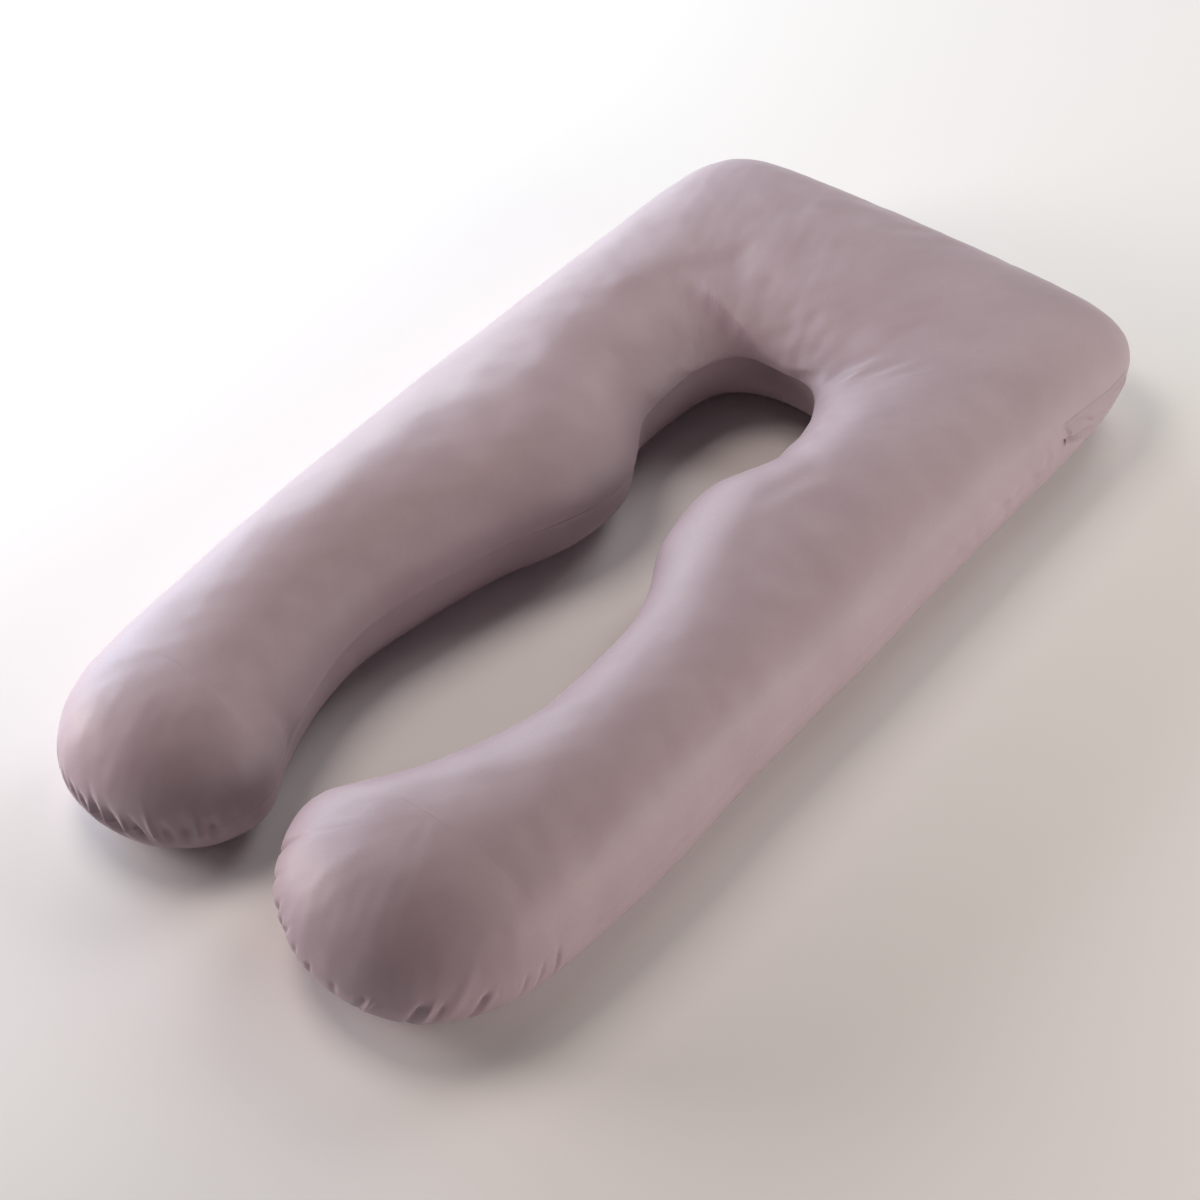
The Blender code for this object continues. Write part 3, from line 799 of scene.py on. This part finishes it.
def placket_layers(pillow):
    """The strip's inner and outer face: the pillow's skin moved out by a stand-off that grows on the way down
    as the square of a sine, as far as the table says, and shrinks again by the free edge. The strip thins
    towards its ends and its stitched edge, and dips a little under the two rows of stitches."""
    rows, *table = np.array(PLACKET_ROWS, float).T
    turns = np.linspace(rows[0], rows[-1], PLACKET_LINES)
    down = np.linspace(0, 1, PLACKET_POINTS)[None, :]
    top, free_edge, lift = [
        through(turns, rows, column, slopes_of(rows, column))[:, None] for column in table
    ]
    depth_down = down * (top - free_edge)
    points, normals = skin(pillow, turns, top - depth_down)
    run = run_along(points[:, 0])
    from_end = smooth_step(np.minimum(run, run[-1] - run) / PLACKET_END_LENGTH)[:, None]
    curl = 1 - PLACKET_CURL * smooth_step((down - PLACKET_CURL_FROM) / (1 - PLACKET_CURL_FROM))
    stand_off = PLACKET_GAP + lift * np.sin(np.pi / 2 * down) ** 2 * curl * from_end
    dip = sum(STITCH_DIP * bell(depth_down - row, STITCH_DIP_REACH) for row in STITCH_ROWS)
    pressed = smooth_step(depth_down / STITCH_ROWS[0]) * from_end
    thick = PLACKET_EDGE + (PLACKET_THICKNESS - PLACKET_EDGE) * pressed
    inner = points + normals * stand_off[:, :, None]
    outer = points + normals * (stand_off + np.maximum(thick - dip, PLACKET_EDGE))[:, :, None]
    return inner, outer, normals, depth_down


def closed_strip(inner, outer):
    """One skin round a strip: out along its outer face, over the edge and back along its inner face."""
    ring = np.concatenate([outer, inner[:, ::-1]], 1)
    rows, columns = ring.shape[:2]
    i = np.arange(rows - 1)[:, None]
    j = np.arange(columns)[None, :]
    k = (j + 1) % columns
    this, following = i * columns, (i + 1) * columns
    side = np.stack([this + j, this + k, following + k, following + j], -1)
    out = np.arange(columns // 2 - 1)
    cap = np.stack([out, out + 1, columns - 2 - out, columns - 1 - out], -1)
    return ring, np.concatenate([side.reshape(-1, 4), cap, (rows - 1) * columns + cap])


def strip_maps(ring, faces):
    """The strip's maps, in metres. "cloth" has the run along the strip and round it. In "seam" the whole
    strip is too far from the seam for its puckers."""
    along, round_it = run_along(ring[:, 0]), run_along(ring[len(ring) // 2])
    cloth = np.stack(np.meshgrid(along, round_it, indexing="ij"), -1).reshape(-1, 2)[faces]
    return {"cloth": cloth * MM, "seam": np.broadcast_to([0.0, 1.0], cloth.shape)}


def stitches(outer, normals, depth_down):
    """Short raised threads along each row of stitching: a spindle on a line, its radius the square root of a
    parabola along the stitch."""
    shapes, faces = [], []
    rings, around = STITCH_RINGS, STITCH_SIDES
    for row in STITCH_ROWS:
        line, up = [
            np.array([
                [np.interp(row, down, rib[:, k]) for k in range(3)] for down, rib in zip(depth_down, field)
            ])
            for field in (outer, normals)
        ]
        run = run_along(line)
        starts = np.arange(STITCH_START, run[-1] - STITCH_LENGTH, STITCH_PITCH)
        at = starts[:, None] + np.linspace(0, STITCH_LENGTH, rings)[None, :]
        centre = np.stack([np.interp(at, run, line[:, k]) for k in range(3)], -1)
        out = np.stack([np.interp(at, run, up[:, k]) for k in range(3)], -1)
        aside = np.cross(out, unit(np.gradient(centre, axis=1)))
        share = np.linspace(-1, 1, rings)
        radius = STITCH_WIDTH / 2 * np.sqrt(np.maximum(1 - share**2, STITCH_TIP))[None, :, None, None]
        angle = np.linspace(0, 2 * np.pi, around, endpoint=False)[None, None, :, None]
        spoke = np.cos(angle) * aside[:, :, None] + np.sin(angle) * out[:, :, None]
        ring = centre[:, :, None] + radius * spoke
        base = sum(len(shape) for shape in shapes)
        shapes.append(ring.reshape(-1, 3))
        stitch = np.arange(len(starts))[:, None, None] * rings * around + base
        here = stitch + np.arange(rings - 1)[None, :, None] * around
        beyond = here + around
        j = np.arange(around)[None, None, :]
        k = (j + 1) % around
        faces.append(np.stack([here + j, here + k, beyond + k, beyond + j], -1).reshape(-1, 4))
        for end in (0, rings - 1):
            first = stitch[:, :, 0] + end * around
            faces.append(np.concatenate([first + [[0, 1, 2, 3]], first + [[0, 3, 4, 5]]]))
    return np.concatenate(shapes), np.concatenate(faces)


# ---------------- finishes

TWIST_PITCH = 0.9          # from turn to turn of the thread's plies
WAVE_BANDS = 20            # a wave texture of scale 1 has this many radians of its bands in a unit


def linear(srgb):
    """An sRGB hex colour as linear red, green, blue and alpha."""
    parts = [int(srgb[i : i + 2], 16) / 255 for i in (0, 2, 4)]
    return [p / 12.92 if p <= 0.04045 else ((p + 0.055) / 1.055) ** 2.4 for p in parts] + [1.0]


def new_finish(name):
    """A material without nodes, and the tree that its finish is built in."""
    material = bpy.data.materials.new(name)
    material.use_nodes = True
    material.node_tree.nodes.clear()
    return material, material.node_tree


def add(tree, kind, links=None, **settings):
    """Adds a node. settings are its own settings, or its inputs where the name starts with in_ and goes on
    with the input's number or name. links are input: socket pairs."""
    node = tree.nodes.new(kind)
    for name, value in settings.items():
        if name.startswith("in_"):
            key = name[3:].replace("_", " ")
            node.inputs[int(key) if key.isdigit() else key].default_value = value
        else:
            setattr(node, name, value)
    for key, socket in (links or {}).items():
        tree.links.new(socket, node.inputs[key])
    return node


def noise(tree, uv, x, y, detail, slant=0, roughness=0.5):
    """Uneven patches of about x by y millimetres on a map in metres, turned by a slant in degrees."""
    place = add(
        tree, "ShaderNodeMapping", {0: uv.outputs[0]}, in_Rotation=(0, 0, np.radians(slant)),
        in_Scale=(1 / (x * MM), 1 / (y * MM), 1),
    )
    return add(
        tree, "ShaderNodeTexNoise", {0: place.outputs[0]},
        in_Scale=1.0, in_Detail=detail, in_Roughness=roughness,
    ).outputs[0]


def ramp(tree, socket, start, end, low, high, kind="LINEAR"):
    """Turns a value between start and end into one between low and high."""
    return add(
        tree, "ShaderNodeMapRange", {0: socket}, interpolation_type=kind,
        in_From_Min=start, in_From_Max=end, in_To_Min=low, in_To_Max=high,
    ).outputs[0]


def bump(tree, socket, strength, deep, over=None):
    """Raises the surface by a pattern this many millimetres deep, over another bump where there is one."""
    links = {"Height": socket}
    if over:
        links["Normal"] = over
    return add(tree, "ShaderNodeBump", links, in_Strength=strength, in_Distance=deep * MM).outputs[0]


def satin(name, warp, weft, shade):
    """Polyester satin of fine filament yarn: long floats in one direction lie over the other threads, so the
    cloth is smooth, has a soft broad gloss and a pale sheen where it is seen along the surface."""
    material, tree = new_finish(name)
    cloth = add(tree, "ShaderNodeUVMap", uv_map="cloth")
    seam = add(tree, "ShaderNodeUVMap", uv_map="seam")

    # The floats are really about 0.2 mm wide and 1 mm long. They are drawn 1.3 by 9 mm, the finest that shows
    # at this size, and uneven as slubs are.
    floats = noise(tree, cloth, 9, 1.3, detail=2, slant=38)
    grain = noise(tree, cloth, 1.6, 4, detail=3, roughness=0.6)
    patches = noise(tree, cloth, 90, 90, detail=3)

    # Soft puckers 9 mm apart where stitches hold the seam, fading within about 15 mm of it.
    puckers = noise(tree, seam, 9, 45, detail=2)
    above = add(tree, "ShaderNodeSeparateXYZ", {0: seam.outputs[0]})
    distance = add(tree, "ShaderNodeMath", {0: above.outputs[1]}, operation="ABSOLUTE")
    near_seam = ramp(tree, distance.outputs[0], 0, 16 * MM, 1, 0, kind="SMOOTHSTEP")
    held = add(tree, "ShaderNodeMath", {0: puckers, 1: near_seam}, operation="MULTIPLY")

    mixed = add(tree, "ShaderNodeMix", {0: floats}, data_type="RGBA", in_6=linear(weft), in_7=linear(warp))
    shaded = {0: ramp(tree, patches, 0.35, 0.65, 0, 0.35), 6: mixed.outputs[2]}
    coloured = add(tree, "ShaderNodeMix", shaded, data_type="RGBA", in_7=linear(shade))
    weave_bump = bump(tree, floats, 0.3, 0.15)
    grain_bump = bump(tree, grain, 0.35, 0.25, over=weave_bump)
    seam_bump = bump(tree, held.outputs[0], 0.35, 2.5, over=grain_bump)
    rough = ramp(tree, grain, 0.3, 0.7, 0.44, 0.56)
    shader = add(
        tree, "ShaderNodeBsdfPrincipled",
        {"Base Color": coloured.outputs[2], "Roughness": rough, "Normal": seam_bump},
        in_Metallic=0.0, in_IOR=1.42, in_Sheen_Weight=0.12, in_Sheen_Roughness=0.35,
        in_Sheen_Tint=linear("efe2ec"),
    )
    add(tree, "ShaderNodeOutputMaterial", {0: shader.outputs[0]})
    return material


def thread_finish(name, srgb):
    """Polyester sewing thread, two plies twisted: a little glossier and paler than the cloth."""
    material, tree = new_finish(name)
    place = add(tree, "ShaderNodeTexCoord")
    twist = add(
        tree, "ShaderNodeTexWave", {0: place.outputs["Object"]}, bands_direction="DIAGONAL",
        in_Scale=2 * np.pi / (TWIST_PITCH * MM) / WAVE_BANDS,
    )
    plies = twist.outputs[1]
    tone = add(tree, "ShaderNodeMix", {0: plies}, data_type="RGBA", in_6=linear(srgb), in_7=linear("c9bac1"))
    shader = add(
        tree, "ShaderNodeBsdfPrincipled",
        {"Base Color": tone.outputs[2], "Normal": bump(tree, plies, 0.5, 0.1)},
        in_Roughness=0.5, in_Sheen_Weight=0.2,
    )
    add(tree, "ShaderNodeOutputMaterial", {0: shader.outputs[0]})
    return material


def matt_floor(name, srgb):
    """Smooth pale studio floor, painted matt."""
    material, tree = new_finish(name)
    shader = add(tree, "ShaderNodeBsdfPrincipled", in_Base_Color=linear(srgb), in_Roughness=0.9)
    add(tree, "ShaderNodeOutputMaterial", {0: shader.outputs[0]})
    return material


# ---------------- the pieces

pillow = shaped_pillow()
pillow.grid = pillow.grid + shift_to_solid(pillow.grid)
inner, outer, normals, depth_down = placket_layers(pillow)
pillow.move(-pocket_depth(pillow))
rib_count, point_count = pillow.grid.shape[:2]
cover = add_piece("pillow_cover", pillow.grid, quads(rib_count, point_count), cover_maps(pillow), weld=True)
cover.data.materials.append(satin("mauve polyester satin", "b3a0a8", "a8959d", "a08c95"))
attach(cover, "root")
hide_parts("pillow")

ring, strip_faces = closed_strip(inner, outer)
placket = add_piece("placket", ring, strip_faces, strip_maps(ring, strip_faces))
placket.data.set_sharp_from_angle(angle=np.radians(PLACKET_SHARP))
placket.data.materials.append(satin("mauve satin, folded strip", "b09da5", "a5929a", "9c8991"))
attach(placket, "root")
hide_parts("zip_placket")

thread_points, thread_faces = stitches(outer, normals, depth_down)
threads = add_piece("placket_stitching", thread_points, thread_faces)
threads.data.materials.append(thread_finish("mauve sewing thread", "b7a5ad"))
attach(threads, "root")

# ---------------- floor, lights and camera, in metres

FLOOR_HALF = 7.0
FLOOR_LEVEL = -0.0005      # a little under the pillow, so that the two faces are never one
floor_mesh = bpy.data.meshes.new("floor")
floor_mesh.from_pydata(
    [(FLOOR_HALF * x, FLOOR_HALF * y, FLOOR_LEVEL) for x, y in ((-1, -1), (1, -1), (1, 1), (-1, 1))],
    [], [(0, 1, 2, 3)],
)
floor = bpy.data.objects.new("floor", floor_mesh)
floor_mesh.materials.append(matt_floor("white studio floor", "f2f0f0"))
bpy.context.scene.collection.objects.link(floor)

SOFTBOX_SIZE = 1.4
SOFTBOX_AIM = (0, 0, 0.1)  # the pillow's middle, which they all face
SOFTBOX_DISTANCE = 3.0     # and from which they all are this far
SOFTBOXES = (
    # name, degrees round from +X, degrees up, watts, colour
    ("left, low and in front", 210, 12, 72, "fff5f4"),
    ("left, low", 180, 12, 56, "cdedff"),
    ("left, low and behind", 150, 12, 34, "ecfaff"),
    ("left, high", 180, 65, 32, "ffefe5"),
    ("behind", 90, 38, 24, "fffbf8"),
    ("right, low and behind", 30, 12, 25, "edffef"),
    ("right, low", 0, 12, 34, "ffe6e1"),
)

for name, round_deg, up_deg, watts, srgb in SOFTBOXES:
    data = bpy.data.lights.new(name, "AREA")
    data.shape = "SQUARE"
    data.size = SOFTBOX_SIZE
    data.energy = watts
    data.color = linear(srgb)[:3]
    round_angle, up_angle = np.radians(round_deg), np.radians(up_deg)
    level_part = np.cos(up_angle)
    towards = np.array([np.cos(round_angle) * level_part, np.sin(round_angle) * level_part, np.sin(up_angle)])
    light = bpy.data.objects.new(name, data)
    light.location = np.array(SOFTBOX_AIM) + SOFTBOX_DISTANCE * towards
    light.rotation_euler = (np.pi / 2 - up_angle, 0, round_angle + np.pi / 2)
    bpy.context.scene.collection.objects.link(light)

ROOM_LIGHT = 0.02          # strength of the light from all round
world = bpy.data.worlds.new("studio")
world.use_nodes = True
background = world.node_tree.nodes["Background"]
background.inputs[0].default_value = linear("ffffff")
background.inputs[1].default_value = ROOM_LIGHT
bpy.context.scene.world = world

# The camera stands in front of the right foot, looks down over the pillow and leans a little to one side.
CAMERA_PLACE = (1.7190, -1.8900, 2.5685)
CAMERA_AZIMUTH = np.radians(42.673)
CAMERA_ELEVATION = np.radians(45.355)
CAMERA_ROLL = np.radians(-4.491)
LENS_PIXELS = 2879.3       # focal length, with the picture 1200 pixels wide
PICTURE = 1200
SENSOR_WIDTH = 36

ahead = np.array([
    -np.sin(CAMERA_AZIMUTH) * np.cos(CAMERA_ELEVATION),
    np.cos(CAMERA_AZIMUTH) * np.cos(CAMERA_ELEVATION),
    -np.sin(CAMERA_ELEVATION),
])
level = np.array([np.cos(CAMERA_AZIMUTH), np.sin(CAMERA_AZIMUTH), 0])
upright = np.cross(level, ahead)
right = np.cos(CAMERA_ROLL) * level + np.sin(CAMERA_ROLL) * upright
up = -np.sin(CAMERA_ROLL) * level + np.cos(CAMERA_ROLL) * upright
lens = bpy.data.cameras.new("camera")
lens.sensor_width = SENSOR_WIDTH
lens.lens = LENS_PIXELS / PICTURE * SENSOR_WIDTH
lens.clip_start, lens.clip_end = 0.05, 60
camera = bpy.data.objects.new("camera", lens)
placed = np.eye(4)
placed[:3, 0], placed[:3, 1], placed[:3, 2], placed[:3, 3] = right, up, -ahead, CAMERA_PLACE
camera.matrix_world = Matrix(placed.tolist())
bpy.context.scene.collection.objects.link(camera)
bpy.context.scene.camera = camera

bpy.context.scene.view_settings.view_transform = "Standard"

bpy.context.view_layer.update()
